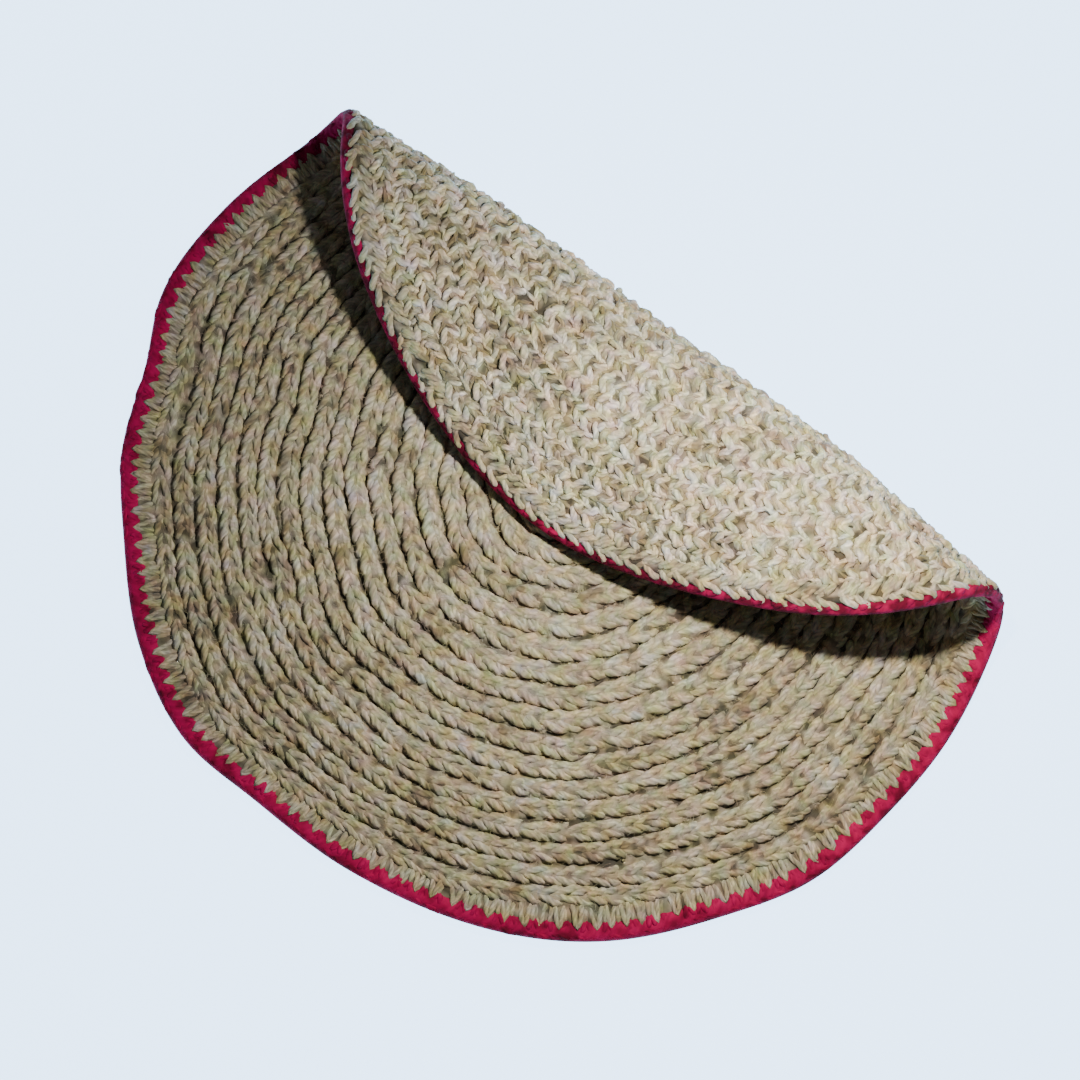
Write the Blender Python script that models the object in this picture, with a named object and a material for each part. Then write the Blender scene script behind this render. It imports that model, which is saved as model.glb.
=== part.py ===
"""A round crocheted jute doormat with a red crocheted edge, lying with one side folded over its front.

Metres, +Z up. +X runs along the fold, +Y from the flat side towards the fold, and the origin lies on the
floor under the middle of the folded mat's box. The mat is worked out as a flat disc first, and every point
of it is then laid along the folded cloth.
"""

import math
from collections import namedtuple

import bmesh
import bpy
import numpy as np

# Driving sizes
MAT_RADIUS = 0.302  # flat disc with its edging
EDGING_WIDTH = 0.0125
THICKNESS = 0.009  # jute body, over its ribs
RIB_DEPTH = 0.003
SHOULDERS = (0.76, 0.24)  # the outer and inner edge of a rib's top, as parts of its round's width
GAP = 0.0003  # between the jute and the edging
RIM_POINTS = 136
STAGGER = 0.618  # of a point's spacing, from one ring inwards to the next, so that no seams line up

# The crocheted rounds from the middle outwards, which get narrower towards the rim. One last round fills what
# is left, and carries the edging.
RoundRow = namedtuple("RoundRow", "count width")
ROUND_ROWS = (
    RoundRow(count=1, width=0.0120),
    RoundRow(count=7, width=0.0160),
    RoundRow(count=3, width=0.0155),
    RoundRow(count=2, width=0.0148),
    RoundRow(count=6, width=0.0137),
)

# Where the disc's centre lies, seen from the origin
DISC_CENTRE_X = 0.001
DISC_CENTRE_Y = 0.0895

# Worked out from the driving sizes
BODY_RADIUS = MAT_RADIUS - EDGING_WIDTH - GAP
ROUND_WIDTHS = [row.width for row in ROUND_ROWS for _ in range(row.count)]
GROOVE_RADII = list(np.cumsum(ROUND_WIDTHS)) + [BODY_RADIUS]
FRONT = THICKNESS / 2
BACK = -THICKNESS / 2
GROOVE = FRONT - RIB_DEPTH

# The fold's section, from the floor over the bend and down the flap: how long each stretch of cloth is, and
# how many degrees it turns
Stretch = namedtuple("Stretch", "length turn")
SECTION = (
    Stretch(length=0.036, turn=55),
    Stretch(length=0.026, turn=70),
    Stretch(length=0.036, turn=55),
    Stretch(length=0.066, turn=20),
    Stretch(length=0.090, turn=9),
)
BLEND = 0.012  # cloth on each side of a point over which the turns are averaged
STEP = 0.001

# Along the fold: how far from the disc's centre line the cloth leaves the floor, and how large the section is
FoldRow = namedtuple("FoldRow", "x start size")
FOLD_ROWS = (
    FoldRow(x=-0.28, start=0.072, size=1.01),
    FoldRow(x=-0.14, start=0.082, size=0.92),
    FoldRow(x=0.00, start=0.081, size=0.90),
    FoldRow(x=0.14, start=0.071, size=1.11),
    FoldRow(x=0.28, start=0.043, size=1.40),
)

# The uneven outline, by the angle in degrees round the disc: how far the rim stands outside a true circle
OutlineRow = namedtuple("OutlineRow", "angle bulge")
OUTLINE_ROWS = (
    OutlineRow(angle=0, bulge=-0.001),
    OutlineRow(angle=28, bulge=-0.005),
    OutlineRow(angle=60, bulge=-0.003),
    OutlineRow(angle=95, bulge=-0.002),
    OutlineRow(angle=125, bulge=-0.003),
    OutlineRow(angle=150, bulge=-0.003),
    OutlineRow(angle=164, bulge=-0.005),
    OutlineRow(angle=178, bulge=0.001),
    OutlineRow(angle=192, bulge=0.004),
    OutlineRow(angle=201, bulge=-0.004),
    OutlineRow(angle=213, bulge=0.000),
    OutlineRow(angle=224, bulge=-0.001),
    OutlineRow(angle=238, bulge=0.005),
    OutlineRow(angle=251, bulge=0.006),
    OutlineRow(angle=262, bulge=-0.004),
    OutlineRow(angle=277, bulge=-0.005),
    OutlineRow(angle=311, bulge=0.003),
    OutlineRow(angle=325, bulge=0.002),
    OutlineRow(angle=336, bulge=0.005),
    OutlineRow(angle=349, bulge=0.000),
    OutlineRow(angle=360, bulge=-0.001),
)

# Round the edging's cut face, starting and ending on the floor: how far out from the jute, and how high over
# the middle of the cloth
EdgingRow = namedtuple("EdgingRow", "out height")
EDGING_ROWS = (
    EdgingRow(out=0.0000, height=BACK),
    EdgingRow(out=0.0000, height=GROOVE),
    EdgingRow(out=0.0030, height=0.0030),
    EdgingRow(out=0.0085, height=0.0026),
    EdgingRow(out=EDGING_WIDTH, height=0.0000),
    EdgingRow(out=0.0118, height=-0.0034),
    EdgingRow(out=0.0095, height=BACK),
)

# The points of one ring of the mesh, and how far round it each of them stands, as a part of a turn
Ring = namedtuple("Ring", "turns verts")

JUTE_COLOUR = (0.50, 0.42, 0.30)
RED_COLOUR = (0.25, 0.006, 0.030)
YARN_ROUGHNESS = 0.95
SHARP_ANGLE = math.radians(34)


def smooth_through(places, values, at):
    """A smooth curve through a table's rows, read at the given places."""
    slopes = np.gradient(values, places)
    at = np.clip(at, places[0], places[-1])
    row = np.clip(np.searchsorted(places, at) - 1, 0, len(places) - 2)
    gap = places[row + 1] - places[row]
    part = (at - places[row]) / gap
    rest = 1 - part
    ends = values[row] * (1 + 2 * part) * rest**2 + values[row + 1] * (1 + 2 * rest) * part**2
    leans = slopes[row] * part * rest**2 - slopes[row + 1] * rest * part**2
    return ends + gap * leans


def section_curve():
    """The fold's section at size 1: for each step of cloth, how far it has run, risen and turned."""
    ends = np.cumsum([0.0] + [stretch.length for stretch in SECTION])
    headings = np.cumsum([0.0] + [math.radians(stretch.turn) for stretch in SECTION])
    cloth = np.arange(-BLEND, ends[-1], STEP)
    window = np.arange(-BLEND, BLEND + STEP / 2, STEP)
    turned = np.mean([np.interp(cloth + shift, ends, headings) for shift in window], axis=0)
    run = np.cumsum(np.cos(turned)) * STEP - BLEND - STEP
    rise = np.cumsum(np.sin(turned)) * STEP
    return cloth, run, rise, turned


def lay(points, height):
    """Lays points of the flat disc on the folded mat, at a height over the middle of the cloth."""
    x, y = points[:, 0], points[:, 1]
    rows = np.array(FOLD_ROWS)
    start = smooth_through(rows[:, 0], rows[:, 1], x)
    size = smooth_through(rows[:, 0], rows[:, 2], x)
    along = (y - start) / size
    cloth, run, rise, turned = section_curve()
    run = np.where(along < cloth[0], along, np.interp(along, cloth, run))
    rise = np.where(along < cloth[0], 0.0, np.interp(along, cloth, rise))
    turned = np.where(along < cloth[0], 0.0, np.interp(along, cloth, turned))
    return np.stack(
        [
            x + DISC_CENTRE_X,
            start + size * run - height * np.sin(turned) + DISC_CENTRE_Y,
            size * rise + height * np.cos(turned) + THICKNESS / 2,
        ],
        axis=1,
    )


def ring_points(radius, turns):
    """Points round the flat disc. The outline's unevenness fades out towards the centre."""
    angles = turns * 2 * math.pi
    rows = np.array(OUTLINE_ROWS)
    bulge = smooth_through(rows[:, 0], rows[:, 1], np.degrees(angles))
    uneven = radius + bulge * (radius / MAT_RADIUS) ** 2
    return np.stack([uneven * np.cos(angles), uneven * np.sin(angles)], axis=1)


def add_ring(mesh, radius, height, order=0):
    """Adds one ring of the folded mat, with points about as far apart on every ring."""
    count = max(6, min(RIM_POINTS, round(RIM_POINTS * radius / BODY_RADIUS)))
    turns = (np.arange(count) + (order * STAGGER) % 1) / count
    verts = [mesh.verts.new(place) for place in lay(ring_points(radius, turns), height)]
    return Ring(list(turns), verts)


def turn_after(ring, index):
    """How far round the ring the point after this one stands. A closed ring has none."""
    if index == len(ring.verts):
        return math.inf
    return (ring.turns + [1 + ring.turns[0]])[index + 1]


def bridge(mesh, first, second):
    """Fills the strip between two rings with triangles. The rings may have different numbers of points."""
    a, b = 0, 0
    while a < len(first.verts) or b < len(second.verts):
        corners = [first.verts[a % len(first.verts)], second.verts[b % len(second.verts)]]
        if turn_after(first, a) <= turn_after(second, b):
            a += 1
            corners.append(first.verts[a % len(first.verts)])
        else:
            b += 1
            corners.append(second.verts[b % len(second.verts)])
        mesh.faces.new(corners)


def fill_centre(mesh, ring, height):
    """Closes the smallest ring with a fan of triangles."""
    middle = mesh.verts.new(lay(np.zeros((1, 2)), height)[0])
    for near, far in zip(ring.verts, ring.verts[1:] + ring.verts[:1]):
        mesh.faces.new((middle, near, far))


def add_object(name, mesh, colour):
    """Makes an object of a finished mesh, with its own rough yarn material."""
    bmesh.ops.recalc_face_normals(mesh, faces=mesh.faces)
    data = bpy.data.meshes.new(name)
    mesh.to_mesh(data)
    mesh.free()
    data.shade_smooth()
    data.set_sharp_from_angle(angle=SHARP_ANGLE)
    material = bpy.data.materials.new(name)
    material.use_nodes = True
    shader = material.node_tree.nodes["Principled BSDF"]
    shader.inputs["Base Color"].default_value = (*colour, 1.0)
    shader.inputs["Roughness"].default_value = YARN_ROUGHNESS
    shader.inputs["Metallic"].default_value = 0.0
    data.materials.append(material)
    bpy.context.scene.collection.objects.link(bpy.data.objects.new(name, data))


def build_body():
    """The jute disc in one piece: a rib for each round on its front, and a plain back."""
    mesh = bmesh.new()
    front, back = [], []
    inner_edges = [0.0] + GROOVE_RADII[:-1]
    for inner, outer in reversed(list(zip(inner_edges, GROOVE_RADII))):
        back.append(add_ring(mesh, outer, BACK, order=len(back)))
        front.append(add_ring(mesh, outer, GROOVE, order=len(front)))
        for shoulder in SHOULDERS:
            radius = inner + shoulder * (outer - inner)
            front.append(add_ring(mesh, radius, FRONT, order=len(front)))
    for rings in (front, back):
        for outer, inner in zip(rings, rings[1:]):
            bridge(mesh, outer, inner)
    bridge(mesh, back[0], front[0])
    fill_centre(mesh, front[-1], GROOVE)
    fill_centre(mesh, back[-1], BACK)
    add_object("mat_body", mesh, JUTE_COLOUR)


def build_edging():
    """The red round on the disc's rim, which follows the fold."""
    mesh = bmesh.new()
    rings = [add_ring(mesh, BODY_RADIUS + GAP + row.out, row.height) for row in EDGING_ROWS]
    for first, second in zip(rings, rings[1:] + rings[:1]):
        bridge(mesh, first, second)
    add_object("edging", mesh, RED_COLOUR)


for old in list(bpy.data.objects):
    bpy.data.objects.remove(old)
build_body()
build_edging()
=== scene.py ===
"""A round crocheted jute doormat with a red crocheted edge, lying with one side folded over its front.

Metres, +Z up, in the same frame as the solids. Every strand of yarn is worked out on the flat disc first,
by its angle, its radius and its height over the middle of the cloth, and is then laid on the fold.
"""

import math
from collections import namedtuple

import bpy
import numpy as np
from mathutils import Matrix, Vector


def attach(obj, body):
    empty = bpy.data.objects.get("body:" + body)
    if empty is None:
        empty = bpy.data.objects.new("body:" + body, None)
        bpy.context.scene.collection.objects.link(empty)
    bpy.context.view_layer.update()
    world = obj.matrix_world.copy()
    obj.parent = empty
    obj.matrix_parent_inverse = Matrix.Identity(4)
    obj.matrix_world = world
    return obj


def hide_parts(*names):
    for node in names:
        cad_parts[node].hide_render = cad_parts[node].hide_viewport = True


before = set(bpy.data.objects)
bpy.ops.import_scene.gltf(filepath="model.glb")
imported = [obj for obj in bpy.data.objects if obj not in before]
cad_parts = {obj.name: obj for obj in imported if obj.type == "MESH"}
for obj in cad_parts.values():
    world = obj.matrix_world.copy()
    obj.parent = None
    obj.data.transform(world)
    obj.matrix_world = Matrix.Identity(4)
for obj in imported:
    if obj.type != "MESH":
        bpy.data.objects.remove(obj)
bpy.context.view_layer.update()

SEED = 23
chance = np.random.default_rng(SEED)

# Driving sizes, the same as the solids'
MAT_RADIUS = 0.302
EDGING_WIDTH = 0.0125
THICKNESS = 0.009
GAP = 0.0003
DISC_CENTRE_X = 0.001
DISC_CENTRE_Y = 0.0895
BODY_RADIUS = MAT_RADIUS - EDGING_WIDTH - GAP

# The crocheted rounds from the middle outwards. The strip that is left outside them carries the edging.
RoundRow = namedtuple("RoundRow", "count width")
ROUND_ROWS = (
    RoundRow(count=1, width=0.0120),
    RoundRow(count=7, width=0.0160),
    RoundRow(count=3, width=0.0155),
    RoundRow(count=2, width=0.0148),
    RoundRow(count=6, width=0.0137),
)
ROUND_WIDTHS = [row.width for row in ROUND_ROWS for _ in range(row.count)]
GROOVE_RADII = [0.0] + list(np.cumsum(ROUND_WIDTHS))

# The fold's section, from the floor over the bend and down the flap
Stretch = namedtuple("Stretch", "length turn")
SECTION = (
    Stretch(length=0.036, turn=55),
    Stretch(length=0.026, turn=70),
    Stretch(length=0.036, turn=55),
    Stretch(length=0.066, turn=20),
    Stretch(length=0.090, turn=9),
)
BLEND = 0.012  # cloth on each side of a point over which the turns are averaged
STEP = 0.001

# Along the fold: how far from the disc's centre line the cloth leaves the floor, and how large its section is
FoldRow = namedtuple("FoldRow", "x start size")
FOLD_ROWS = (
    FoldRow(x=-0.28, start=0.072, size=1.01),
    FoldRow(x=-0.14, start=0.082, size=0.92),
    FoldRow(x=0.00, start=0.081, size=0.90),
    FoldRow(x=0.14, start=0.071, size=1.11),
    FoldRow(x=0.28, start=0.043, size=1.40),
)

# The uneven outline, by the angle in degrees round the disc: how far the rim stands outside a true circle
OutlineRow = namedtuple("OutlineRow", "angle bulge")
OUTLINE_ROWS = (
    OutlineRow(angle=0, bulge=-0.001),
    OutlineRow(angle=28, bulge=-0.005),
    OutlineRow(angle=60, bulge=-0.003),
    OutlineRow(angle=95, bulge=-0.002),
    OutlineRow(angle=125, bulge=-0.003),
    OutlineRow(angle=150, bulge=-0.003),
    OutlineRow(angle=164, bulge=-0.005),
    OutlineRow(angle=178, bulge=0.001),
    OutlineRow(angle=192, bulge=0.004),
    OutlineRow(angle=201, bulge=-0.004),
    OutlineRow(angle=213, bulge=0.000),
    OutlineRow(angle=224, bulge=-0.001),
    OutlineRow(angle=238, bulge=0.005),
    OutlineRow(angle=251, bulge=0.006),
    OutlineRow(angle=262, bulge=-0.004),
    OutlineRow(angle=277, bulge=-0.005),
    OutlineRow(angle=311, bulge=0.003),
    OutlineRow(angle=325, bulge=0.002),
    OutlineRow(angle=336, bulge=0.005),
    OutlineRow(angle=349, bulge=0.000),
    OutlineRow(angle=360, bulge=-0.001),
)

# The rounds aren't true circles either: how far they stand outwards of one, by the angle. This fades out
# towards the centre and towards the rim.
WarpRow = namedtuple("WarpRow", "angle push")
WARP_ROWS = (
    WarpRow(angle=0, push=-0.002),
    WarpRow(angle=30, push=0.000),
    WarpRow(angle=150, push=0.000),
    WarpRow(angle=180, push=-0.004),
    WarpRow(angle=196, push=-0.0056),
    WarpRow(angle=207, push=-0.0052),
    WarpRow(angle=216, push=-0.0028),
    WarpRow(angle=228, push=-0.0024),
    WarpRow(angle=236, push=-0.0030),
    WarpRow(angle=246, push=-0.0008),
    WarpRow(angle=258, push=0.0018),
    WarpRow(angle=274, push=0.0028),
    WarpRow(angle=284, push=0.0012),
    WarpRow(angle=296, push=-0.0006),
    WarpRow(angle=310, push=-0.0014),
    WarpRow(angle=322, push=-0.0026),
    WarpRow(angle=336, push=-0.0036),
    WarpRow(angle=350, push=-0.0028),
    WarpRow(angle=360, push=-0.002),
)
WARP_RIM = 0.045  # width of the outer strip in which the warp fades out
WARP_CENTRE = 0.09  # radius of the middle in which it fades out

# Dents where a few rounds bend in or out: the place, how many degrees and how far outwards it reaches, and
# its size
Dent = namedtuple("Dent", "angle radius spread reach size")
DENTS = (
    Dent(angle=236, radius=0.195, spread=6, reach=0.035, size=-0.0038),
    Dent(angle=248, radius=0.235, spread=6, reach=0.030, size=-0.0024),
    Dent(angle=306, radius=0.184, spread=3, reach=0.012, size=0.0036),
    Dent(angle=311, radius=0.176, spread=3, reach=0.012, size=-0.0032),
    Dent(angle=336, radius=0.130, spread=9, reach=0.030, size=-0.0020),
)
WAVES = (4, 7, 11, 16)  # small waves round the mat, which neighbouring rounds share
WAVE_SIZE = 0.0004
WAVE_LEAN = 0.06  # the width of rounds over which a wave shifts by its own lean

# Yarn
FRONT_YARN = 0.385  # a strand's radius on the front, as a part of half its round's width
BACK_YARN = 0.0023
DEEP_YARN = 0.0021
RIM_YARN = 0.0018
KNUCKLE_YARN = 0.0023
RED_YARN = 0.0022
PLIES = 5
PLY_TWIST = 0.028  # length in which the plies turn once round each other
LUMPS = 0.07  # how uneven the yarn's surface is, as a part of its radius
TAPER = (0.45, 0.9)  # how thick a strand is at its first points from either end
STRAND_VARIES = 0.05  # how much one strand's thickness differs from the next one's
KNOB_VARIES = 0.14  # the same between knobs on the back
KNOB_TINT_VARIES = 0.22
SPARE_YARN = 10  # length of yarn from which each strand takes its own stretch of fibres
WOBBLES = 16  # waves in all directions, along which neighbouring strands wobble
WOBBLE_LENGTHS = (0.005, 0.012)
WOBBLE_SIZE = 0.00012
WOBBLE_PUSH = 0.7

# Stitches
STITCH_LENGTH = 0.0099
EDGE_STITCH_LENGTH = 0.0106
UNEVEN_LENGTHS = 0.16  # how much one stitch's length differs from the next one's
FEWEST_STITCHES = 6
FIRST_STITCH = math.radians(237)  # the angle at which every round begins
RIM_REACH = 0.006  # what counts as half a round at the rim
DRIFT = 0.0009  # how far a round wanders in and out
RIM_DRIFT = 0.0003
STEADY_RADIUS = 0.1  # the rounds inside it wander less
WANDER_WAVES = (3, 5, 8, 13, 21)
WANDER_SIZE = 0.5
WANDER_PHASE = 7
TINT_LAG = 0.6  # how much of a stitch's tint the next but one still has
TINT_SHIFT = 5  # how many stitches back a strand between two knobs takes its tint from
LIFTED_FROM = 0.05  # how far from the disc's centre line the backs of stitches begin to show

# How much one strand differs from the next: how much longer it is, and how far it is shifted
Unevenness = namedtuple("Unevenness", "stretch shift")
AHEAD_UNEVEN = Unevenness(stretch=0.05, shift=0.04)
OUT_UNEVEN = Unevenness(stretch=0.04, shift=0.03)
HEIGHT_UNEVEN = Unevenness(stretch=0.05, shift=0.00018)
UPWARDS = 0.001  # the distance between two points that give the cloth's own direction up

# How loosely each kind of strand lies, where 1 is the unevenness above
FRONT_LOOSE = 1.3
BACK_LOOSE = 2.2
DEEP_LOOSE = 1.7
TOOTH_LOOSE = 1.1
CHAIN_LOOSE = 0.6

# How finely each kind of strand is modelled
Fineness = namedtuple("Fineness", "points sides")
LOOP_FINENESS = Fineness(points=17, sides=6)
SHOWN_FINENESS = Fineness(points=9, sides=8)
UNDER_FINENESS = Fineness(points=4, sides=5)
DEEP_FINENESS = Fineness(points=4, sides=4)
BAR_FINENESS = Fineness(points=5, sides=4)
TOOTH_FINENESS = Fineness(points=15, sides=7)
POST_FINENESS = Fineness(points=7, sides=6)
RIM_BACK_FINENESS = Fineness(points=8, sides=6)
CHAIN_FINENESS = Fineness(points=9, sides=7)
RED_KNOB_FINENESS = Fineness(points=7, sides=7)
GROUND_POINTS = 256
EDGING_POINTS = 512

# One strand of a stitch, point by point: how far ahead in stitches, how far out in half rounds, and how high
# over the middle of the cloth
Bend = namedtuple("Bend", "ahead out height")
FRONT_LOOP = (
    Bend(ahead=-0.44, out=0.03, height=0.0008),
    Bend(ahead=-0.20, out=0.10, height=0.0018),
    Bend(ahead=0.04, out=0.19, height=0.0023),
    Bend(ahead=0.30, out=0.36, height=0.0025),
    Bend(ahead=0.56, out=0.50, height=0.0024),
    Bend(ahead=0.82, out=0.58, height=0.0020),
    Bend(ahead=1.06, out=0.60, height=0.0012),
    Bend(ahead=1.28, out=0.52, height=0.0001),
    Bend(ahead=1.42, out=0.32, height=-0.0012),
    Bend(ahead=1.46, out=0.00, height=-0.0016),
)
# The back of a stitch, in two slanting knobs that lie one outside the other
INNER_KNOB = (
    Bend(ahead=-0.32, out=-1.14, height=-0.0019),
    Bend(ahead=-0.24, out=-0.92, height=-0.0022),
    Bend(ahead=-0.03, out=-0.56, height=-0.0027),
    Bend(ahead=0.19, out=-0.20, height=-0.0023),
    Bend(ahead=0.28, out=0.02, height=-0.0019),
)
OUTER_KNOB = (
    Bend(ahead=0.34, out=-0.14, height=-0.0019),
    Bend(ahead=0.26, out=0.08, height=-0.0022),
    Bend(ahead=0.04, out=0.44, height=-0.0027),
    Bend(ahead=-0.18, out=0.80, height=-0.0023),
    Bend(ahead=-0.28, out=1.02, height=-0.0019),
)
SUNK = 0.0012  # how much deeper the strands between the knobs lie
# The strand that shows between the knobs, along the middle of a round and between two rounds
BACK_BAR = (
    Bend(ahead=-0.60, out=0.12, height=-0.0008),
    Bend(ahead=-0.32, out=-0.04, height=-0.0019),
    Bend(ahead=0.00, out=-0.14, height=-0.0022),
    Bend(ahead=0.32, out=-0.04, height=-0.0019),
    Bend(ahead=0.60, out=0.12, height=-0.0008),
)
# The outermost jute round, whose legs meet in teeth over the red: out is measured from the jute's rim
TOOTH_LEG = (
    Bend(ahead=0.33, out=-2.05, height=0.0000),
    Bend(ahead=0.29, out=-1.60, height=0.0019),
    Bend(ahead=0.23, out=-1.00, height=0.0024),
    Bend(ahead=0.17, out=-0.40, height=0.0025),
    Bend(ahead=0.10, out=0.20, height=0.0026),
    Bend(ahead=0.00, out=0.68, height=0.0026),
)
# The lower strand between two teeth
SHORT_POST = (
    Bend(ahead=0.50, out=-1.80, height=0.0002),
    Bend(ahead=0.50, out=-1.30, height=0.0018),
    Bend(ahead=0.50, out=-0.70, height=0.0022),
    Bend(ahead=0.50, out=-0.15, height=0.0024),
    Bend(ahead=0.50, out=0.32, height=0.0018),
)
# The same round's back: a row of knobs, and outside them knuckles that reach slanting over the red
RIM_KNOB = (
    Bend(ahead=-0.34, out=-1.38, height=-0.0012),
    Bend(ahead=-0.22, out=-1.00, height=-0.0025),
    Bend(ahead=0.02, out=-0.55, height=-0.0029),
    Bend(ahead=0.26, out=-0.12, height=-0.0025),
    Bend(ahead=0.38, out=0.10, height=-0.0012),
)
KNUCKLE = (
    Bend(ahead=0.60, out=0.18, height=-0.0012),
    Bend(ahead=0.50, out=0.40, height=-0.0027),
    Bend(ahead=0.24, out=0.66, height=-0.0032),
    Bend(ahead=-0.06, out=0.90, height=-0.0032),
    Bend(ahead=-0.32, out=1.12, height=-0.0027),
    Bend(ahead=-0.46, out=1.26, height=-0.0012),
)
# The deeper strand between two knuckles
RIM_FILL = (
    Bend(ahead=-0.34, out=-0.50, height=-0.0006),
    Bend(ahead=-0.18, out=-0.20, height=-0.0023),
    Bend(ahead=0.02, out=0.18, height=-0.0028),
    Bend(ahead=0.20, out=0.52, height=-0.0026),
    Bend(ahead=0.30, out=0.82, height=-0.0012),
)
# The red round: its outermost chain, its loops on the front and its knobs on the back
RED_CHAIN = (
    Bend(ahead=-0.66, out=1.28, height=-0.0008),
    Bend(ahead=-0.32, out=1.42, height=0.0010),
    Bend(ahead=0.08, out=1.53, height=0.0018),
    Bend(ahead=0.48, out=1.59, height=0.0014),
    Bend(ahead=0.84, out=1.58, height=0.0002),
    Bend(ahead=1.02, out=1.52, height=-0.0010),
)
RED_LOOP = (
    Bend(ahead=0.24, out=1.40, height=0.0008),
    Bend(ahead=0.20, out=1.00, height=0.0018),
    Bend(ahead=0.14, out=0.58, height=0.0020),
    Bend(ahead=0.07, out=0.22, height=0.0018),
    Bend(ahead=0.00, out=0.06, height=0.0012),
)
RED_KNOB = (
    Bend(ahead=-0.36, out=0.92, height=-0.0006),
    Bend(ahead=-0.18, out=1.06, height=-0.0018),
    Bend(ahead=0.02, out=1.22, height=-0.0024),
    Bend(ahead=0.20, out=1.38, height=-0.0018),
    Bend(ahead=0.34, out=1.50, height=-0.0006),
)

# The rounds of each braided piece, counted from the middle
RoundGroup = namedtuple("RoundGroup", "name first end")
BRAIDS = (
    RoundGroup(name="inner", first=0, end=10),
    RoundGroup(name="middle", first=10, end=15),
    RoundGroup(name="outer", first=15, end=19),
)

# The levels of the carrying cloth: how high each lies over the cloth's middle, how much that varies, and its
# tint. A low tint is painted shade: the grooves, the lips under the knuckles and the back are painted darker.
Level = namedtuple("Level", "height uneven tint")
CROWN = Level(height=0.0041, uneven=0.0003, tint=1.0)
CROWN_SIDE = Level(height=0.0032, uneven=0.0003, tint=0.8)
GROOVE = Level(height=0.0001, uneven=0.0006, tint=0.0)
SHALLOW_GROOVE = Level(height=0.0009, uneven=0.0006, tint=0.25)
RIM_START = Level(height=0.0026, uneven=0.0003, tint=0.8)
RIM_FRONT = Level(height=0.0030, uneven=0.0, tint=0.8)
LIP = Level(height=-0.0034, uneven=0.0002, tint=0.6)
LIP_START = Level(height=-0.0032, uneven=0.0003, tint=0.3)
BACK = Level(height=-0.0022, uneven=0.0, tint=0.4)
CROWN_REACH = 0.58  # from a round's middle to the sides of its crown, in half rounds
SHALLOW_FROM = 0.15  # the radius from which the grooves get shallower
SHALLOW_WIDTH = 0.1
LIP_REACH = 0.0050
LIP_START_REACH = 0.0010

# The red edging's cut face, starting and ending at the jute's rim
EdgingRow = namedtuple("EdgingRow", "out height")
EDGING_ROWS = (
    EdgingRow(out=-0.0010, height=-0.0022),
    EdgingRow(out=-0.0010, height=0.0016),
    EdgingRow(out=0.0025, height=0.0034),
    EdgingRow(out=0.0075, height=0.0039),
    EdgingRow(out=0.0105, height=0.0030),
    EdgingRow(out=0.0119, height=0.0005),
    EdgingRow(out=0.0106, height=-0.0020),
    EdgingRow(out=0.0075, height=-0.0030),
    EdgingRow(out=0.0030, height=-0.0028),
)
EDGING_UNEVEN = 0.0001
EDGING_FRONT = 0.001  # the height from which the edging counts as its front
SKIN_YARN = 0.004  # length of yarn that one point of a skin stands for

# Loose fibres
FIBRES = 12000
FIBRE_LENGTHS = (0.002, 0.007)
FIBRE_WIDTH = 0.00020
FIBRE_POINTS = (0.0, 0.5, 1.0)
FIBRE_AREA = (0.01, 0.95)  # the part of the disc's area that they stand on
FIBRE_CURL = 1.0
FIBRE_HEIGHT = 0.0038
FIBRE_RISES = (0.1, 0.9)
FIBRE_RISE = 0.0016
FIBRE_ARCH = 2.4  # the part of a wave that a fibre rises and falls in, as an angle
FIBRE_TAPER = 0.7
FRONT_SHARE = 0.62  # the part of them on the front, where both sides of the cloth show
BOTH_SIDES_FROM = 0.09  # how far from the disc's centre line both sides have fibres

# Tints, as a lowest value and what a stitch's own tint from 0 to 1 adds to it
TintRange = namedtuple("TintRange", "low spread")
# The teeth's legs take the lighter half of the tints: painted light on the teeth
TOOTH_LIT_TINTS = TintRange(low=0.5, spread=0.5)
# The red yarn is painted lighter on the front and darker on the back: painted light and painted shade
RED_LIT_TINTS = TintRange(low=0.6, spread=0.4)
RED_SHADED_TINTS = TintRange(low=-0.4, spread=0.3)
# The red skin, painted lighter on its front and darker on its back: painted light and painted shade
EDGING_LIT_TINT = 0.8
EDGING_SHADED_TINT = -0.4

# Colours, by their place on the scale of tints
Stop = namedtuple("Stop", "place colour")
JUTE_COLOURS = (
    Stop(place=0.00, colour=(0.202, 0.149, 0.080)),
    Stop(place=0.20, colour=(0.386, 0.298, 0.165)),
    Stop(place=0.36, colour=(0.309, 0.277, 0.143)),
    Stop(place=0.50, colour=(0.438, 0.345, 0.218)),
    Stop(place=0.64, colour=(0.362, 0.316, 0.175)),
    Stop(place=0.80, colour=(0.514, 0.429, 0.268)),
    Stop(place=1.00, colour=(0.427, 0.371, 0.268)),
)
# The back's knobs: the front's jute colours painted lighter, as painted light on the flap
BACK_LIT_COLOURS = (
    Stop(place=0.00, colour=(0.255, 0.194, 0.114)),
    Stop(place=0.20, colour=(0.530, 0.422, 0.259)),
    Stop(place=0.36, colour=(0.422, 0.373, 0.226)),
    Stop(place=0.50, colour=(0.598, 0.480, 0.329)),
    Stop(place=0.64, colour=(0.510, 0.446, 0.277)),
    Stop(place=0.80, colour=(0.707, 0.601, 0.409)),
    Stop(place=1.00, colour=(0.589, 0.514, 0.395)),
)
# The carrying cloth's colours: the dark end, in its grooves, lips and back, is painted shade
GROUND_AND_SHADE_COLOURS = (
    Stop(place=0.2, colour=(0.07, 0.055, 0.03)),
    Stop(place=0.8, colour=(0.33, 0.265, 0.16)),
)
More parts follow.
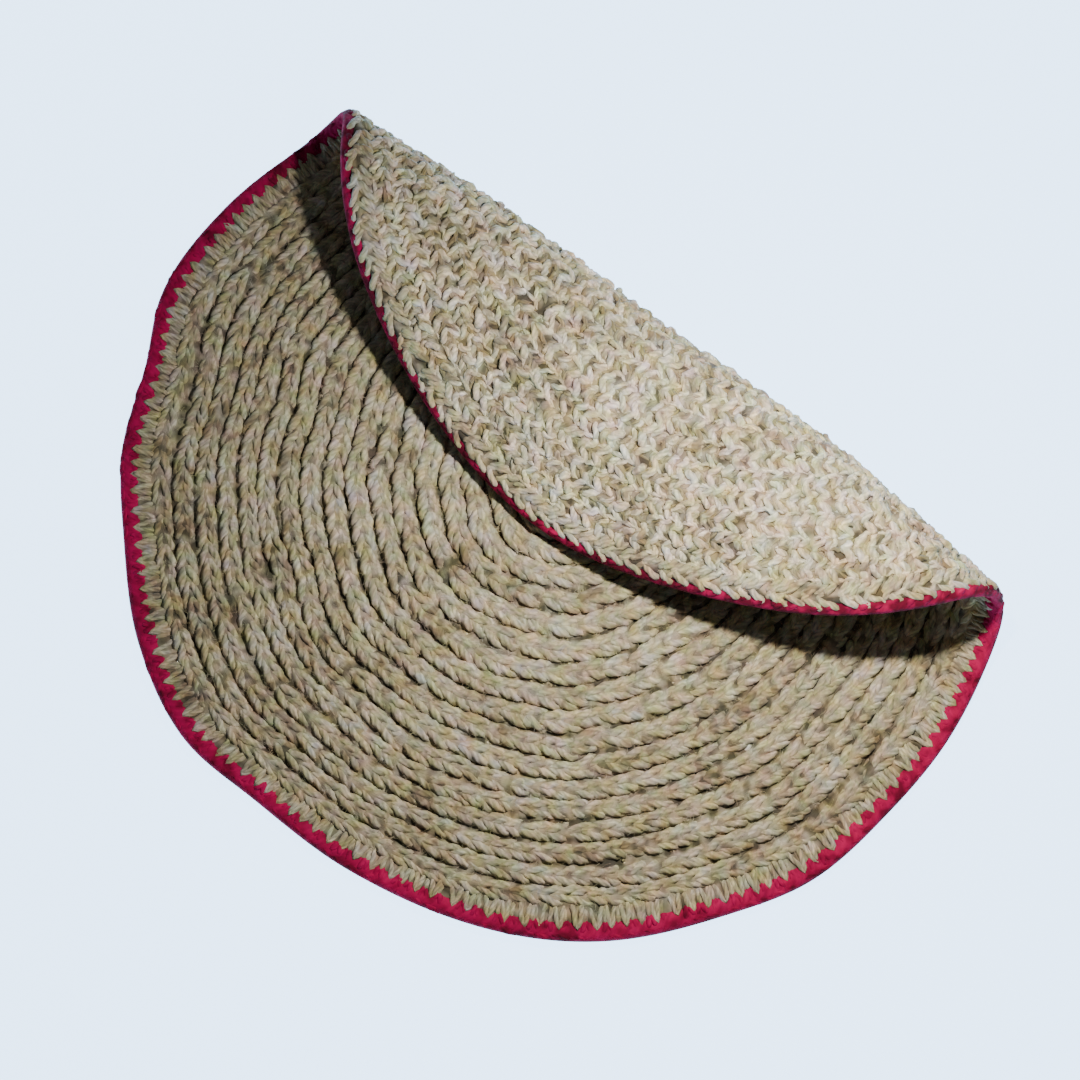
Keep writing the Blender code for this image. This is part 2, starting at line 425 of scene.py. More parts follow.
# The strands deep in the back between the knobs, painted darker than the knobs as shade
DEEP_SHADE_COLOURS = (
    Stop(place=0.0, colour=(0.195, 0.143, 0.065)),
    Stop(place=0.5, colour=(0.260, 0.208, 0.104)),
    Stop(place=1.0, colour=(0.338, 0.273, 0.156)),
)
RED_COLOURS = (
    Stop(place=0.0, colour=(0.10, 0.0, 0.012)),
    Stop(place=0.4, colour=(0.28, 0.001, 0.040)),
    Stop(place=1.0, colour=(0.40, 0.002, 0.062)),
)

# The yarn's surface. Scales are lumps of noise to a metre, and a range is the part of a noise or of a wave
# that counts.
YARN_ROUGHNESS = 0.92
YARN_SPECULAR = 0.2
JUTE_SHEEN = 0.12
SHEEN_ROUGHNESS = 0.6
FIBRE_GRAIN = (130, 7, 40)  # how fine the fibres' noise is along the yarn, round it and between strands
TINT_SHARE = 0.45  # how much of its place on the scale of colours a strand's own tint decides
PATCH_SCALE = 150.0
PATCH_RANGE = (0.34, 0.66)
PATCH_TINTS = (0.0, 0.55)
TONE_SCALE = 26.0
TONE_RANGE = (0.3, 0.7)
TONE_TINTS = (-0.3, 0.3)
SPECK_SCALE = 420.0
SPECK_RANGE = (0.3, 0.7)
STREAK_RANGE = (0.25, 0.75)
VALLEY_SHADE_RANGE = (-1.0, 0.2)
MARL_SCALE = 110.0
MARL = (0.45, 0.25, 0.8)  # how far the yarn's patches differ in red, green and blue
WARMER = (0.10, 0.0, -0.2)  # how much warmer the yarn gets for each metre along +X
VALLEY_SHADE_SHARE = 0.65  # how dark the painted shade in the valleys between the plies is, as a part of the yarn's depth
PLY_RELIEF = 0.35
RELIEF_STRENGTH = 0.4
RELIEF_DEPTH = 0.0006

# Camera and light
CAMERA_TARGET = Vector((0.0078, 0.0438, 0.0))
CAMERA_AZIMUTH = math.radians(36.4)
CAMERA_ELEVATION = math.radians(79.3)
CAMERA_DISTANCE = 1.5
FRAME_WIDTH = 0.718  # what the camera sees across, at its target
SENSOR_WIDTH = 36.0
KEY_PLACE = Vector((0.09, 0.174, 0.45))
KEY_TARGET = Vector((0.15, 0.05, 0.0))
KEY_ANGLE = math.radians(150)
KEY_RADIUS = 0.02
KEY_STRENGTH = 18.0
SKY_STRENGTH = 0.12
SKY_COLOUR = (0.78, 0.93, 1.05)
FLOOR_SIZE = 40.0
FLOOR_DROP = 0.0003
FLOOR_COLOUR = (0.10, 0.10, 0.10)
FLOOR_ROUGHNESS = 0.9
FLOOR_GLOW = (2.55, 3.8, 5.4)


def smooth_through(places, values, at):
    """A smooth curve through a table's rows, read at the given places."""
    slopes = np.gradient(values, places)
    at = np.clip(at, places[0], places[-1])
    row = np.clip(np.searchsorted(places, at) - 1, 0, len(places) - 2)
    gap = places[row + 1] - places[row]
    part = (at - places[row]) / gap
    rest = 1 - part
    ends = values[row] * (1 + 2 * part) * rest**2 + values[row + 1] * (1 + 2 * rest) * part**2
    leans = slopes[row] * part * rest**2 - slopes[row + 1] * rest * part**2
    return ends + gap * leans


def unit(vectors):
    """The same directions, each with a length of 1."""
    return vectors / np.maximum(np.linalg.norm(vectors, axis=-1, keepdims=True), 1e-9)


# Waves and wobbles that all strands share, so they are drawn only once
wave_turns = chance.random((len(WAVES), 2)) * 2 * math.pi
wobble_headings = unit(chance.normal(0, 1, (WOBBLES, 3)))
wobble_pushes = chance.normal(0, WOBBLE_PUSH, (WOBBLES, 3))
wobble_lengths = chance.uniform(*WOBBLE_LENGTHS, WOBBLES)
wobble_turns = chance.random(WOBBLES) * 2 * math.pi


def section_curve():
    """The fold's section at size 1: for each step of cloth, how far it has run, risen and turned."""
    ends = np.cumsum([0.0] + [stretch.length for stretch in SECTION])
    headings = np.cumsum([0.0] + [math.radians(stretch.turn) for stretch in SECTION])
    cloth = np.arange(-BLEND, ends[-1], STEP)
    window = np.arange(-BLEND, BLEND + STEP / 2, STEP)
    turned = np.mean([np.interp(cloth + shift, ends, headings) for shift in window], axis=0)
    run = np.cumsum(np.cos(turned)) * STEP - BLEND - STEP
    rise = np.cumsum(np.sin(turned)) * STEP
    return cloth, run, rise, turned


def pushed(radius, degrees):
    """How far the rounds stand outwards of their true place on the disc."""
    rows = np.array(WARP_ROWS)
    total = smooth_through(rows[:, 0], rows[:, 1], degrees)
    for dent in DENTS:
        aside = (degrees - dent.angle) / dent.spread
        beyond = (radius - dent.radius) / dent.reach
        total += dent.size * np.exp(-(aside**2) - beyond**2)
    for waves, (turn, lean) in zip(WAVES, wave_turns):
        total += WAVE_SIZE * np.sin(waves * np.radians(degrees) + turn + lean * radius / WAVE_LEAN)
    return total * np.clip((BODY_RADIUS - radius) / WARP_RIM, 0, 1) * np.clip(radius / WARP_CENTRE, 0, 1)


def lay(radius, angle, height):
    """Lays points of the flat disc on the folded mat. All three arrays have the same shape."""
    degrees = np.degrees(angle) % 360
    rows = np.array(OUTLINE_ROWS)
    bulge = smooth_through(rows[:, 0], rows[:, 1], degrees)
    uneven = radius + bulge * (radius / MAT_RADIUS) ** 2 + pushed(radius, degrees)
    x, y = uneven * np.cos(angle), uneven * np.sin(angle)
    rows = np.array(FOLD_ROWS)
    start = smooth_through(rows[:, 0], rows[:, 1], x)
    size = smooth_through(rows[:, 0], rows[:, 2], x)
    along = (y - start) / size
    cloth, run, rise, turned = section_curve()
    run = np.where(along < cloth[0], along, np.interp(along, cloth, run))
    rise = np.where(along < cloth[0], 0.0, np.interp(along, cloth, rise))
    turned = np.where(along < cloth[0], 0.0, np.interp(along, cloth, turned))
    return np.stack(
        [
            x + DISC_CENTRE_X,
            start + size * run - height * np.sin(turned) + DISC_CENTRE_Y,
            size * rise + height * np.cos(turned) + THICKNESS / 2,
        ],
        axis=-1,
    )


# Stitches of one or more rounds: each one's angle, the radius it is worked at, half its round's width, the
# angle that it takes up, how far it has strayed outwards, and its yarn's tint from 0 to 1
Stitches = namedtuple("Stitches", "angle radius half turn drift tint")


def yarn_tints(count):
    """Tints that change slowly from one stitch to the next, and are spread evenly from 0 to 1."""
    noise = chance.random(count)
    slow = noise + np.roll(noise, 1) + TINT_LAG * np.roll(noise, 2)
    return np.argsort(np.argsort(slow)) / count


def stitches_round(radius, half, length, drift):
    """Stitches of uneven lengths round one circle, which wanders in and out a little."""
    count = max(FEWEST_STITCHES, round(2 * math.pi * radius / length))
    lengths = 1 + chance.normal(0, UNEVEN_LENGTHS, count)
    turn = 2 * math.pi * lengths / np.sum(lengths)
    angle = FIRST_STITCH + np.cumsum(turn)
    wander = np.zeros(count)
    for waves in WANDER_WAVES:
        wander += chance.normal(0, WANDER_SIZE) * np.sin(waves * angle + chance.random() * WANDER_PHASE)
    full = np.ones(count)
    strayed = wander * drift * min(1, radius / STEADY_RADIUS)
    return Stitches(angle, full * radius, full * half, turn, strayed, yarn_tints(count))


def join(groups):
    """Several sets of stitches as one."""
    return Stitches(*[np.concatenate(parts) for parts in zip(*groups)])


def body_stitches(first, end):
    """The stitches of the rounds from the first to the last one before the end."""
    edges = list(zip(GROOVE_RADII, GROOVE_RADII[1:]))[first:end]
    return join([stitches_round((a + b) / 2, (b - a) / 2, STITCH_LENGTH, DRIFT) for a, b in edges])


def some_of(stitches, chosen):
    """Only the chosen stitches."""
    return Stitches(*[column[chosen] for column in stitches])


def is_lifted(stitches):
    """Which stitches lie on the bend and the flap, where their backs show."""
    return stitches.radius * np.sin(stitches.angle) > LIFTED_FROM


def half_on(stitches):
    """The places half a stitch further on."""
    return stitches._replace(angle=stitches.angle + stitches.turn / 2)


def tinted(stitches, tints):
    """The stitches' own tints, moved into a range."""
    return tints.low + tints.spread * stitches.tint


def looped(bends):
    """A strand that runs out along one side of a stitch and back along its other side."""
    return bends + tuple(bend._replace(out=-bend.out) for bend in reversed(bends[:-1]))


def arched(bends):
    """A strand that runs outwards on one side of a stitch and back inwards on its other side."""
    return bends + tuple(bend._replace(ahead=-bend.ahead) for bend in reversed(bends[:-1]))


def sunk(bends):
    """A strand that lies deeper in the cloth's back."""
    return tuple(bend._replace(height=bend.height + SUNK) for bend in bends)


def bends_at(bends, count):
    """A strand's table of bends, read at evenly spaced places."""
    table = np.array(bends)
    places = np.arange(len(bends), dtype=float)
    at = np.linspace(0, len(bends) - 1, count)
    return [smooth_through(places, table[:, column], at) for column in range(3)]


def varied(values, number, uneven, loose):
    """The same values for a number of strands, a little different for each."""
    stretched = values * (1 + chance.normal(0, uneven.stretch * loose, (number, 1)))
    return stretched + chance.normal(0, uneven.shift * loose, (number, 1))


def wobbled(paths, size):
    """The paths with small wobbles on them."""
    total = np.zeros_like(paths)
    for heading, push, length, turn in zip(wobble_headings, wobble_pushes, wobble_lengths, wobble_turns):
        total += push * np.sin(paths @ heading * (2 * math.pi / length) + turn)[..., None]
    return paths + size * total


def strand_paths(stitches, bends, count, loose=1.0):
    """The paths of one strand in each stitch, and the cloth's own direction up at every point."""
    ahead, out, height = bends_at(bends, count)
    number = len(stitches.angle)
    ahead = varied(ahead, number, AHEAD_UNEVEN, loose)
    out = varied(out, number, OUT_UNEVEN, loose)
    height = varied(height, number, HEIGHT_UNEVEN, loose)
    angle = stitches.angle[:, None] + ahead * stitches.turn[:, None]
    radius = stitches.radius[:, None] + stitches.drift[:, None] + out * stitches.half[:, None]
    paths = lay(radius, angle, height)
    above = lay(radius, angle, height + UPWARDS)
    return wobbled(paths, WOBBLE_SIZE * loose), unit(above - paths)


Tubes = namedtuple("Tubes", "verts faces uvs tints")


def yarn_lengths(paths):
    """How much yarn has run at each point of many paths. Every strand has its own stretch of yarn."""
    steps = np.linalg.norm(np.diff(paths, axis=1), axis=2)
    start = np.zeros((len(paths), 1))
    run = np.concatenate([start, np.cumsum(steps, axis=1)], axis=1)
    return run + chance.random((len(paths), 1)) * SPARE_YARN


def tapered(count):
    """How thick a strand is at each of its points, which is less at its ends."""
    taper = np.ones(count)
    for step, part in enumerate(TAPER):
        taper[step] = part
        taper[-1 - step] = part
    return taper


def tube_faces(lengths, sides):
    """The faces round many strands, and where each of their corners lies along and round the yarn."""
    number, count = lengths.shape
    indices = [np.arange(number), np.arange(count - 1), np.arange(sides)]
    strand, step, corner = np.meshgrid(*indices, indexing="ij")
    near = (strand * count + step) * sides
    far = near + sides
    beside = (corner + 1) % sides
    faces = np.stack([near + corner, near + beside, far + beside, far + corner], axis=-1)
    here, there = lengths[strand, step], lengths[strand, step + 1]
    low, high = corner / sides, (corner + 1) / sides
    corners = [(here, low), (here, high), (there, high), (there, low)]
    uvs = np.stack([np.stack(pair, axis=-1) for pair in corners], axis=-2)
    return faces.reshape(-1, 4), uvs.reshape(-1, 2)


def tubes_round(paths, ups, thickness, sides, tints):
    """Twisted yarn round many paths at once. Its seam lies on the side towards the cloth."""
    number, count = paths.shape[:2]
    tangents = unit(np.gradient(paths, axis=1))
    across = unit(np.cross(tangents, ups))[:, :, None]
    over = np.cross(across, tangents[:, :, None])
    lengths = yarn_lengths(paths)
    turn = (2 * math.pi * np.arange(sides + 1) / sides)[:, None]
    thick = thickness * (1 + chance.normal(0, STRAND_VARIES, (number, 1))) * tapered(count)
    lumps = 1 + chance.normal(0, LUMPS, (number, count, sides + 1))
    reach = (thick[..., None] * lumps)[..., None]
    verts = paths[:, :, None] + reach * (np.sin(turn) * across - np.cos(turn) * over)
    faces, uvs = tube_faces(lengths, sides)
    return Tubes(verts[:, :, :sides].reshape(-1, 3), faces, uvs, np.repeat(tints, count * sides))


def front_strands(stitches, bends, fineness, thickness, tints, loose=1.0):
    """One strand of yarn in each stitch, on the front."""
    paths, ups = strand_paths(stitches, bends, fineness.points, loose)
    return tubes_round(paths, ups, thickness, fineness.sides, tints)


def back_strands(stitches, bends, fineness, thickness, tints, loose=1.0):
    """One strand of yarn in each stitch, on the back."""
    paths, ups = strand_paths(stitches, bends, fineness.points, loose)
    return tubes_round(paths, -ups, thickness, fineness.sides, tints)


def knobs_on_back(stitches, bends, fineness):
    """One knob in each stitch, which differ from each other more than other strands do."""
    paths, ups = strand_paths(stitches, bends, fineness.points, BACK_LOOSE)
    count = len(stitches.tint)
    thickness = BACK_YARN * (1 + chance.normal(0, KNOB_VARIES, (count, 1)))
    tints = np.clip(stitches.tint + chance.normal(0, KNOB_TINT_VARIES, count), 0, 1)
    return tubes_round(paths, -ups, thickness, fineness.sides, tints)


def join_tubes(parts):
    """Several sets of tubes as one."""
    faces, first = [], 0
    for part in parts:
        faces.append(part.faces + first)
        first += len(part.verts)
    return Tubes(
        np.concatenate([part.verts for part in parts]),
        np.concatenate(faces),
        np.concatenate([part.uvs for part in parts]),
        np.concatenate([part.tints for part in parts]),
    )


# A closed ring of points on the disc
Ring = namedtuple("Ring", "radius level")


def closed_skin(rings, count):
    """A skin through rings of points, closed up from the last ring to the first."""
    angle = np.linspace(0, 2 * math.pi, count, endpoint=False)
    heights = [ring.level.height + ring.level.uneven * chance.normal(0, 1, count) for ring in rings]
    radii = [np.full(count, ring.radius) for ring in rings]
    verts = np.array([lay(radius, angle, height) for radius, height in zip(radii, heights)])
    number = len(rings)
    ring, corner = np.meshgrid(np.arange(number), np.arange(count), indexing="ij")
    near, far = ring * count, (ring + 1) % number * count
    beside = (corner + 1) % count
    faces = np.stack([near + corner, far + corner, far + beside, near + beside], axis=-1).reshape(-1, 4)
    uvs = np.zeros((faces.size, 2))
    uvs[:, 0] = (faces.ravel() % count) * SKIN_YARN
    uvs[:, 1] = faces.ravel() // count / number
    tints = np.repeat([float(ring.level.tint) for ring in rings], count)
    return Tubes(verts.reshape(-1, 3), faces, uvs, tints)


def add_piece(name, tubes, material):
    """Makes a piece of the mat, which rides on its one body. Yarn that meets the floor is pressed flat."""
    data = bpy.data.meshes.new(name)
    tubes.verts[:, 2] = np.maximum(tubes.verts[:, 2], 0)
    data.from_pydata(tubes.verts, [], tubes.faces)
    data.uv_layers.new(name="yarn").data.foreach_set("uv", tubes.uvs.ravel())
    data.attributes.new("tint", "FLOAT", "POINT").data.foreach_set("value", tubes.tints)
    data.shade_smooth()
    data.materials.append(material)
    piece = bpy.data.objects.new(name, data)
    bpy.context.scene.collection.objects.link(piece)
    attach(piece, "root")
    return piece


def add_node(tree, kind, inputs=None, **settings):
    """Adds a shader node. An input is a number, a colour or another node's output."""
    node = tree.nodes.new(kind)
    for name, value in settings.items():
        setattr(node, name, value)
    for name, value in (inputs or {}).items():
        if isinstance(value, bpy.types.NodeSocket):
            tree.links.new(value, node.inputs[name])
        else:
            node.inputs[name].default_value = value
    return node


def add_math(tree, operation, *values):
    """A number worked out from one to three numbers."""
    return add_node(tree, "ShaderNodeMath", dict(enumerate(values)), operation=operation).outputs[0]


def add_vector_math(tree, operation, *values):
    """A colour or a place worked out from two or three others, part by part."""
    return add_node(tree, "ShaderNodeVectorMath", dict(enumerate(values)), operation=operation).outputs[0]


def add_noise(tree, place, scale, detail=0.0, output="Fac"):
    """Smooth noise over a place."""
    settings = {"Vector": place, "Scale": scale, "Detail": detail}
    return add_node(tree, "ShaderNodeTexNoise", settings).outputs[output]


def add_spread(tree, value, old, new):
    """A value moved from one range to another, and held inside it."""
    ends = {"From Min": old[0], "From Max": old[1], "To Min": new[0], "To Max": new[1]}
    return add_node(tree, "ShaderNodeMapRange", {"Value": value, **ends}).outputs[0]


def yarn_twist(tree, tint):
    """Noise along the fibres and a wave over the plies, which both turn round the strand as it runs."""
    along = add_node(tree, "ShaderNodeUVMap", uv_map="yarn").outputs["UV"]
    parts = add_node(tree, "ShaderNodeSeparateXYZ", {"Vector": along}).outputs
    twisted = add_math(tree, "MULTIPLY_ADD", parts["X"], 1 / PLY_TWIST, parts["Y"])
    grain = add_node(tree, "ShaderNodeCombineXYZ", {"X": parts["X"], "Y": twisted, "Z": tint}).outputs[0]
    grain = add_vector_math(tree, "MULTIPLY", grain, FIBRE_GRAIN)
    fibres = add_noise(tree, grain, 1.0, detail=2.0)
    plies = add_math(tree, "COSINE", add_math(tree, "MULTIPLY", twisted, 2 * math.pi * PLIES))
    return fibres, plies


def yarn_colour(tree, place, tint, colours):
    """A strand's own colour, with patches of the neighbouring colours along it."""
    patches = add_spread(tree, add_noise(tree, place, PATCH_SCALE), PATCH_RANGE, PATCH_TINTS)
    tones = add_spread(tree, add_noise(tree, place, TONE_SCALE, detail=2.0), TONE_RANGE, TONE_TINTS)
    patches = add_math(tree, "ADD", patches, tones)
    mixed = add_math(tree, "MULTIPLY_ADD", tint, TINT_SHARE, patches)
    ramp = add_node(tree, "ShaderNodeValToRGB", {"Fac": mixed})
    elements = ramp.color_ramp.elements
    elements.remove(elements[1])
    for index, stop in enumerate(colours):
        element = elements[0] if index == 0 else elements.new(stop.place)
        element.position = stop.place
        element.color = (*stop.colour, 1.0)
    return ramp.outputs["Color"]


def yarn_shade(tree, place, fibres, plies, depth):
    """How much darker or lighter the yarn is in its streaks and its specks, and the painted shade in the
    valleys between plies.
    """
    streaks = add_spread(tree, fibres, STREAK_RANGE, (1 - depth, 1 + depth / 2))
    specks = add_noise(tree, place, SPECK_SCALE, detail=1.0)
    specks = add_spread(tree, specks, SPECK_RANGE, (1 - depth / 3, 1 + depth / 3))
    # The valleys between the plies are painted darker: painted shade
    valleys = add_spread(tree, plies, VALLEY_SHADE_RANGE, (1 - VALLEY_SHADE_SHARE * depth, 1.0))
    shade = add_math(tree, "MULTIPLY", streaks, specks)
    return add_math(tree, "MULTIPLY", shade, valleys)


def yarn_marl(tree, place, marled):
    """Soft patches in which the yarn's red, green and blue differ a little."""
    marl = add_noise(tree, place, MARL_SCALE, output="Color")
    spread = [marled * part for part in MARL]
    lowest = [1 - marled * part / 2 for part in MARL]
    return add_vector_math(tree, "MULTIPLY_ADD", marl, spread, lowest)


def yarn_warmth(tree, place):
    """Yarn that gets a little warmer towards +X."""
    across = add_node(tree, "ShaderNodeSeparateXYZ", {"Vector": place}).outputs["X"]
    return add_vector_math(tree, "MULTIPLY_ADD", across, WARMER, (1, 1, 1))


def yarn_material(name, colours, depth, sheen=JUTE_SHEEN, marled=1.0):
    """Hairy twisted yarn: streaks along its fibres, and patches and strands of different colours."""
    material = bpy.data.materials.new(name)
    material.use_nodes = True
    tree = material.node_tree
    shader = tree.nodes["Principled BSDF"]
    shader.inputs["Roughness"].default_value = YARN_ROUGHNESS
    shader.inputs["Specular IOR Level"].default_value = YARN_SPECULAR
    shader.inputs["Sheen Weight"].default_value = sheen
    shader.inputs["Sheen Roughness"].default_value = SHEEN_ROUGHNESS
    place = add_node(tree, "ShaderNodeTexCoord").outputs["Object"]
    tint = add_node(tree, "ShaderNodeAttribute", attribute_name="tint").outputs["Fac"]
    fibres, plies = yarn_twist(tree, tint)
    shade = yarn_shade(tree, place, fibres, plies, depth)
    shaded = {0: yarn_colour(tree, place, tint, colours), "Scale": shade}
    colour = add_node(tree, "ShaderNodeVectorMath", shaded, operation="SCALE").outputs[0]
    for change in (yarn_marl(tree, place, marled), yarn_warmth(tree, place)):
        colour = add_vector_math(tree, "MULTIPLY", colour, change)
    tree.links.new(colour, shader.inputs["Base Color"])
    relief = add_math(tree, "MULTIPLY_ADD", plies, PLY_RELIEF, fibres)
    raised = {"Height": relief, "Strength": RELIEF_STRENGTH, "Distance": RELIEF_DEPTH}
    bump = add_node(tree, "ShaderNodeBump", raised)
    tree.links.new(bump.outputs["Normal"], shader.inputs["Normal"])
    return material


def build_ground(material):
    """The cloth that carries the stitches. It shows between them, and lies deeper between the rounds. Its
    grooves, the lips under the knuckles and its back are painted darker than its crowns, as painted shade.
    """
    rings = []
    for inner, outer in zip(GROOVE_RADII, GROOVE_RADII[1:]):
        middle, half = (inner + outer) / 2, (outer - inner) / 2
        shallow = np.clip((outer - SHALLOW_FROM) / SHALLOW_WIDTH, 0, 1)
        deep, high = np.array(GROOVE), np.array(SHALLOW_GROOVE)
        rings.append(Ring(middle - CROWN_REACH * half, CROWN_SIDE))
        rings.append(Ring(middle, CROWN))
        rings.append(Ring(middle + CROWN_REACH * half, CROWN_SIDE))
        rings.append(Ring(outer, Level(*(deep + (high - deep) * shallow))))
    rings[-1] = Ring(GROOVE_RADII[-1], RIM_START)
    rings.append(Ring(BODY_RADIUS, RIM_FRONT))
    rings.append(Ring(BODY_RADIUS + LIP_REACH, LIP))
    rings.append(Ring(BODY_RADIUS + LIP_START_REACH, LIP_START))
    for radius in GROOVE_RADII[:0:-1]:
        rings.append(Ring(radius, BACK))
    return add_piece("ground", closed_skin(rings, GROUND_POINTS), material)


def build_braids(material):
    """Rounds of braided loops on the front."""
    pieces = []
    for group in BRAIDS:
        stitches = body_stitches(group.first, group.end)
        thickness = stitches.half[:, None] * FRONT_YARN
        loops = looped(FRONT_LOOP)
        tubes = front_strands(stitches, loops, LOOP_FINENESS, thickness, stitches.tint, FRONT_LOOSE)
        pieces.append(add_piece(f"braids_{group.name}", tubes, material))
    return pieces


def build_back(pale, shaded_jute):
    """A column of slanting knobs to a stitch, with deeper strands between the columns and across them. The
    knobs are painted lighter and the deeper strands darker, as painted light and painted shade. The backs
    that lie on the floor have fewer faces."""
    knobs = body_stitches(0, len(ROUND_WIDTHS))
    between = half_on(knobs)._replace(tint=np.roll(knobs.tint, TINT_SHIFT))
    lifted = is_lifted(knobs)
    pieces = []
    for name, chosen, fineness in (("shown", lifted, SHOWN_FINENESS), ("under", ~lifted, UNDER_FINENESS)):
        high, low = some_of(knobs, chosen), some_of(between, chosen)
        high_parts, deep_parts = [], []
        for bends in (INNER_KNOB, OUTER_KNOB):
            strand = sunk(bends)
            high_parts.append(knobs_on_back(high, bends, fineness))
            deep_parts.append(back_strands(low, strand, DEEP_FINENESS, DEEP_YARN, low.tint, DEEP_LOOSE))
        if name == "shown":
            for shift, parts in ((0, deep_parts), (1, high_parts)):
                bars = high._replace(radius=high.radius + shift * high.half)
                parts.append(back_strands(bars, BACK_BAR, BAR_FINENESS, DEEP_YARN, bars.tint, BACK_LOOSE))
        # The knobs take the paler colours: painted light
        pieces.append(add_piece(f"back_{name}", join_tubes(high_parts), pale))
        # The deeper strands take the darker colours: painted shade
        pieces.append(add_piece(f"deep_{name}", join_tubes(deep_parts), shaded_jute))
    return pieces


def build_teeth(stitches, material):
    """The last jute round, with its teeth on the front and its knuckles on the back."""
    beside = half_on(stitches)
    # The teeth's legs are painted lighter: painted light
    tints = tinted(stitches, TOOTH_LIT_TINTS)
    parts = [
        front_strands(stitches, arched(TOOTH_LEG), TOOTH_FINENESS, RIM_YARN, tints, TOOTH_LOOSE),
        front_strands(stitches, SHORT_POST, POST_FINENESS, RIM_YARN, stitches.tint),
    ]
    for places, bends, thickness in (
        (stitches, RIM_KNOB, BACK_YARN),
        (stitches, KNUCKLE, KNUCKLE_YARN),
        (beside, RIM_FILL, DEEP_YARN),
        (beside, RIM_KNOB, DEEP_YARN),
    ):
        parts.append(back_strands(places, bends, RIM_BACK_FINENESS, thickness, stitches.tint, DEEP_LOOSE))
    return add_piece("rim_posts", join_tubes(parts), material)


def build_edging(stitches, material):
    """The red round, painted lighter on its front and darker on its back, as painted light and painted shade,
    with a skin that closes it between strands.
    """
    lit_red_tints, shaded_red_tints = tinted(stitches, RED_LIT_TINTS), tinted(stitches, RED_SHADED_TINTS)
    # The outer chain, which shows on both sides, takes tints halfway between: half painted shade
    middle = (lit_red_tints + shaded_red_tints) / 2
    parts = [
        front_strands(stitches, RED_CHAIN, CHAIN_FINENESS, RED_YARN, middle, CHAIN_LOOSE),
        front_strands(half_on(stitches), arched(RED_LOOP), TOOTH_FINENESS, RED_YARN, lit_red_tints),
        back_strands(stitches, RED_KNOB, RED_KNOB_FINENESS, RED_YARN, shaded_red_tints),
    ]
    rings = []
    for row in EDGING_ROWS:
        # The skin's front is painted lighter and its back darker: painted light and painted shade
        tint = EDGING_LIT_TINT if row.height > EDGING_FRONT else EDGING_SHADED_TINT
        rings.append(Ring(BODY_RADIUS + GAP + row.out, Level(row.height, EDGING_UNEVEN, tint)))
    parts.append(closed_skin(rings, EDGING_POINTS))
    return add_piece("red_edging", join_tubes(parts), material)


def build_fibres(material):
    """Loose fibres that stand off the yarn on both faces, but not under the mat."""
    radius = BODY_RADIUS * np.sqrt(chance.uniform(*FIBRE_AREA, FIBRES))
    angle = chance.uniform(0, 2 * math.pi, FIBRES)
    side = np.where(chance.random(FIBRES) < FRONT_SHARE, 1.0, -1.0)
    side = np.where(radius * np.sin(angle) > BOTH_SIDES_FROM, side, 1.0)
    heading = chance.uniform(0, 2 * math.pi, FIBRES)
    length = chance.uniform(*FIBRE_LENGTHS, FIBRES)
    curl = chance.normal(0, FIBRE_CURL, FIBRES)
    rise = chance.uniform(*FIBRE_RISES, FIBRES)
    verts = []
    for part in FIBRE_POINTS:
        bearing = heading + curl * part
        reach = part * length
        height = side * (FIBRE_HEIGHT + rise * FIBRE_RISE * math.sin(part * FIBRE_ARCH))
        width = FIBRE_WIDTH * (1 - FIBRE_TAPER * part)
        for edge in (-0.5, 0.5):
            out = radius + reach * np.cos(bearing) - edge * width * np.sin(bearing)
            ahead = reach * np.sin(bearing) + edge * width * np.cos(bearing)
            verts.append(lay(out, angle + ahead / radius, height))
    verts = np.stack(verts, axis=1).reshape(-1, 3)
    first = 6 * np.arange(FIBRES)[:, None]
    faces = np.concatenate([first + [0, 1, 3, 2], first + [2, 3, 5, 4]])
    uvs = np.zeros((faces.size, 2))
    tubes = Tubes(verts, faces, uvs, np.repeat(chance.random(FIBRES), 6))
    return add_piece("fibres", tubes, material)


def build_floor():
    """A plain pale floor."""
    bpy.ops.mesh.primitive_plane_add(size=FLOOR_SIZE, location=(0, 0, -FLOOR_DROP))
    floor = bpy.context.object
    floor.name = "floor"
    material = bpy.data.materials.new("floor")
    material.use_nodes = True
    shader = material.node_tree.nodes["Principled BSDF"]
    shader.inputs["Base Color"].default_value = (*FLOOR_COLOUR, 1.0)
    shader.inputs["Roughness"].default_value = FLOOR_ROUGHNESS
    shader.inputs["Emission Color"].default_value = (*FLOOR_GLOW, 1.0)
    shader.inputs["Emission Strength"].default_value = 1.0
    floor.data.materials.append(material)


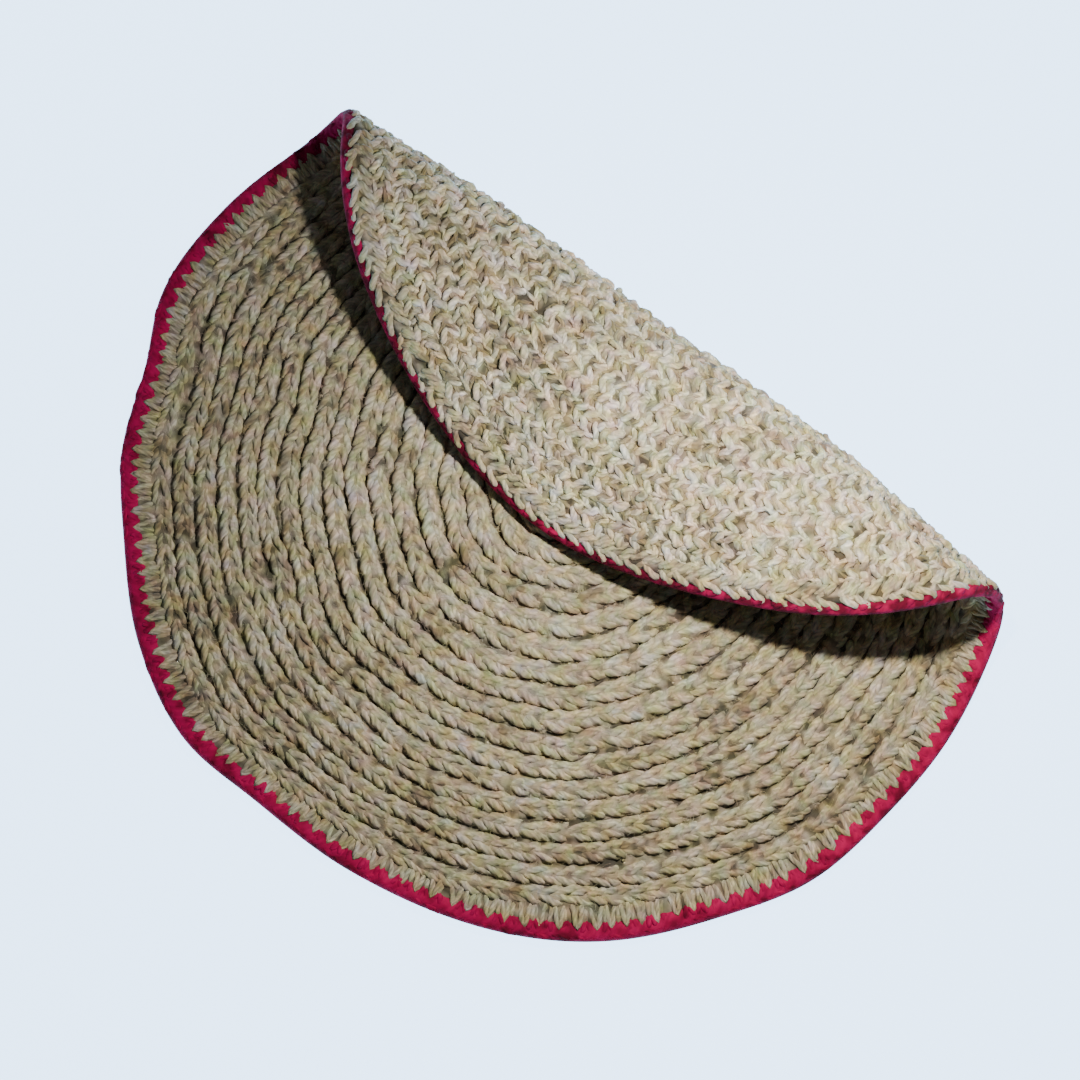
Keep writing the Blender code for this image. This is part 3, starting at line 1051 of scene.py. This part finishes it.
def add_light():
    """A small lamp over the fold, which fades out softly to its sides, and a soft pale sky."""
    lamp = bpy.data.lights.new("key", "SPOT")
    lamp.energy = KEY_STRENGTH
    lamp.shadow_soft_size = KEY_RADIUS
    lamp.spot_size = KEY_ANGLE
    lamp.spot_blend = 1.0
    key = bpy.data.objects.new("key", lamp)
    key.location = KEY_PLACE
    key.rotation_euler = (KEY_PLACE - KEY_TARGET).to_track_quat("Z", "Y").to_euler()
    bpy.context.scene.collection.objects.link(key)
    world = bpy.data.worlds.new("sky")
    world.use_nodes = True
    sky = world.node_tree.nodes["Background"]
    sky.inputs["Color"].default_value = (*SKY_COLOUR, 1.0)
    sky.inputs["Strength"].default_value = SKY_STRENGTH
    bpy.context.scene.world = world


def add_camera():
    """The camera looks down on the mat, from the photograph's side."""
    data = bpy.data.cameras.new("camera")
    data.sensor_width = SENSOR_WIDTH
    data.lens = SENSOR_WIDTH * CAMERA_DISTANCE / FRAME_WIDTH
    camera = bpy.data.objects.new("camera", data)
    level = math.cos(CAMERA_ELEVATION)
    aside, behind = math.sin(CAMERA_AZIMUTH) * level, -math.cos(CAMERA_AZIMUTH) * level
    back = Vector((aside, behind, math.sin(CAMERA_ELEVATION)))
    camera.location = CAMERA_TARGET + back * CAMERA_DISTANCE
    camera.rotation_euler = back.to_track_quat("Z", "Y").to_euler()
    bpy.context.scene.collection.objects.link(camera)
    bpy.context.scene.camera = camera


add_camera()
add_light()
build_floor()
jute = yarn_material("jute_yarn", JUTE_COLOURS, depth=0.35)
# The back's knobs, painted lighter than the front as painted light
pale = yarn_material("jute_back_lit", BACK_LIT_COLOURS, depth=0.35)
# The strands deep in the back, painted darker as shade
deep = yarn_material("jute_deep_shade", DEEP_SHADE_COLOURS, depth=0.35)
# The carrying cloth, painted darker in its grooves, lips and back as shade
shaded_jute = yarn_material("jute_ground_shade", GROUND_AND_SHADE_COLOURS, depth=0.3)
red = yarn_material("red_yarn", RED_COLOURS, depth=0.18, sheen=0.0, marled=0.3)
ground = build_ground(shaded_jute)
jute_pieces = build_braids(jute) + build_back(pale, deep) + [build_fibres(jute)]
rim_stitches = stitches_round(BODY_RADIUS, RIM_REACH, EDGE_STITCH_LENGTH, RIM_DRIFT)
teeth = build_teeth(rim_stitches, jute)
edging = build_edging(rim_stitches, red)
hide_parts("mat_body")
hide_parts("edging")
